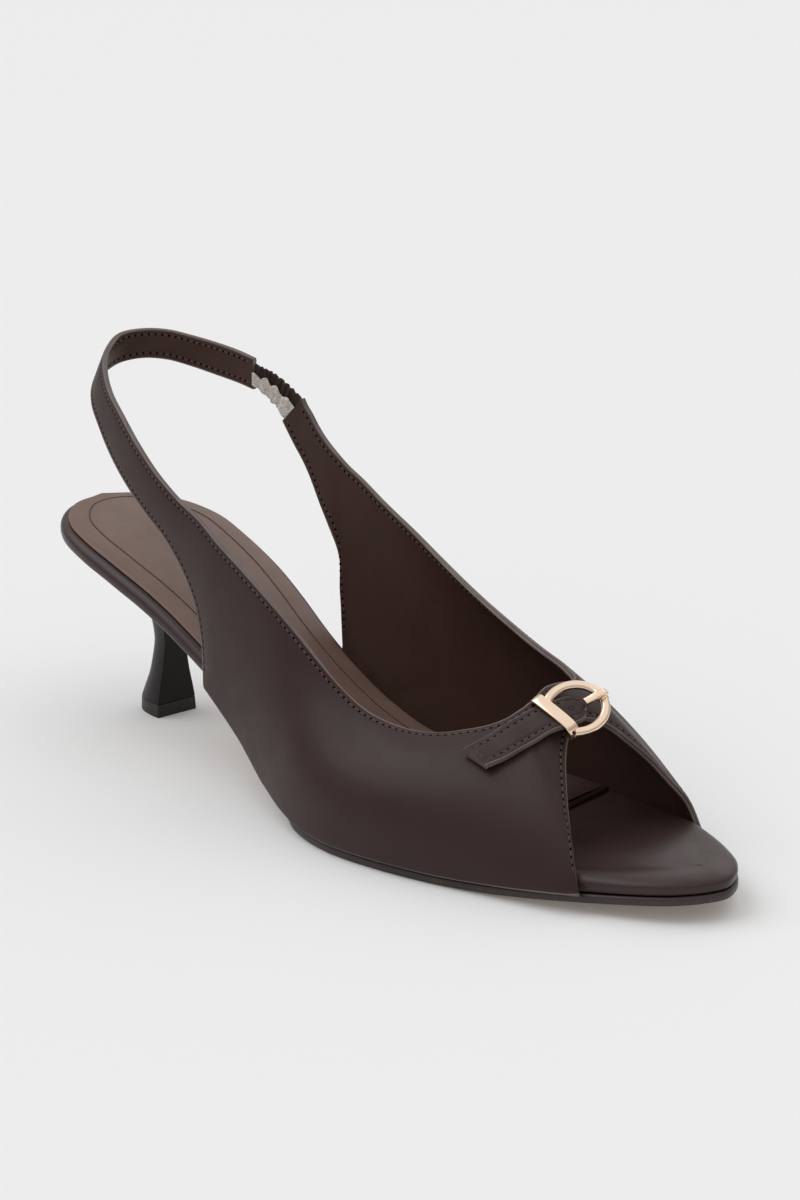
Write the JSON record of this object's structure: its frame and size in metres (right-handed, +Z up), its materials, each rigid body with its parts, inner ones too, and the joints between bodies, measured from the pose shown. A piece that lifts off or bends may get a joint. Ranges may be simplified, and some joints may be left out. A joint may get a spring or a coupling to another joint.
{
  "type": "slingback sandal",
  "caption": "Open-toe slingback sandal for the right foot, with a low slim heel, a banded vamp, a buckled strap and an elastic at the inner side.",
  "frame": {"origin": "middle of the footprint box on the ground", "axes": "+X towards the toe, +Y towards the medial side of the right shoe, +Z up"},
  "size_m": [0.2522, 0.0794, 0.1126],
  "materials": {
    "leather": "smooth, soft sheen",
    "sock": "matt",
    "sole": "matt",
    "heel": "smooth, soft sheen",
    "tip": "matt",
    "elastic": "woven",
    "metal": "polished, pale rose gold"
  },
  "bodies": {
    "root": {"outsole": "sole", "footbed": "leather", "sock": "sock", "heel": "heel", "heel_tip": "tip", "upper": "leather", "gore_elastic": "elastic", "gore_cover": "leather", "buckle_strap": "leather", "buckle_ring": "metal", "buckle_bar": "metal", "buckle_prong": "metal"}
  },
  "joints": []
}
